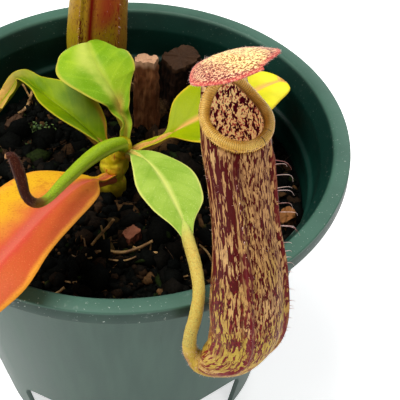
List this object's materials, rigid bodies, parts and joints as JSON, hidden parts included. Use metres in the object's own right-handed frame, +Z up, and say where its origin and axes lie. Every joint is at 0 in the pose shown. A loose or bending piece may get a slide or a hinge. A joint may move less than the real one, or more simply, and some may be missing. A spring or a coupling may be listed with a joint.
{
  "type": "potted pitcher plant",
  "caption": "Young tropical pitcher plant with a rosette of waxy leaves and two streaked hanging traps, growing in a round green nursery pot of dark potting mix.",
  "frame": {"origin": "on the ground, under the middle of the whole plant's footprint; the pot's axis stands 8.2 mm behind it", "axes": "+Z up along the pot's axis; -Y towards the front pitcher, which hangs over the rim; +X to the right seen from the front"},
  "size_m": [0.1142, 0.1305, 0.1563],
  "materials": {
    "green_plastic": "semi-matt moulded plastic, a little dusty",
    "potting_mix": "dark moist crumbs of bark and peat",
    "bark": "rough split bark",
    "dry_straw": "dry and fibrous",
    "stem_green": "satin, living green stem",
    "shoot_green": "satin, living shoot with fine hairs",
    "young_leaf": "satin, leathery green leaf",
    "yellow_leaf": "satin, leathery yellow-green leaf",
    "old_leaf": "satin, leathery orange leaf",
    "pitcher_skin": "satin, streaked leathery skin",
    "pitcher_collar": "glossy ribbed collar",
    "pitcher_lid": "satin, finely freckled"
  },
  "bodies": {
    "root": {"pot": "green_plastic", "potting_mix": "potting_mix", "bark_slab": "bark", "bark_block": "bark", "bark_chip_right": "bark", "bark_chip_front": "bark", "bark_chip_left": "bark", "bark_chip_back": "bark", "bark_chip_side": "bark", "straw_back": "dry_straw", "straw_front": "dry_straw", "straw_slanted": "dry_straw", "straw_side": "dry_straw", "stem": "stem_green", "leaf_front": "young_leaf", "leaf_upper": "young_leaf", "leaf_left": "young_leaf", "leaf_right": "yellow_leaf", "leaf_old": "old_leaf", "new_shoot": "shoot_green", "pitcher_front_body": "pitcher_skin", "pitcher_front_collar": "pitcher_collar", "pitcher_front_lid": "pitcher_lid", "pitcher_back_body": "pitcher_skin", "pitcher_back_collar": "pitcher_collar", "pitcher_back_lid": "pitcher_lid"}
  },
  "joints": []
}
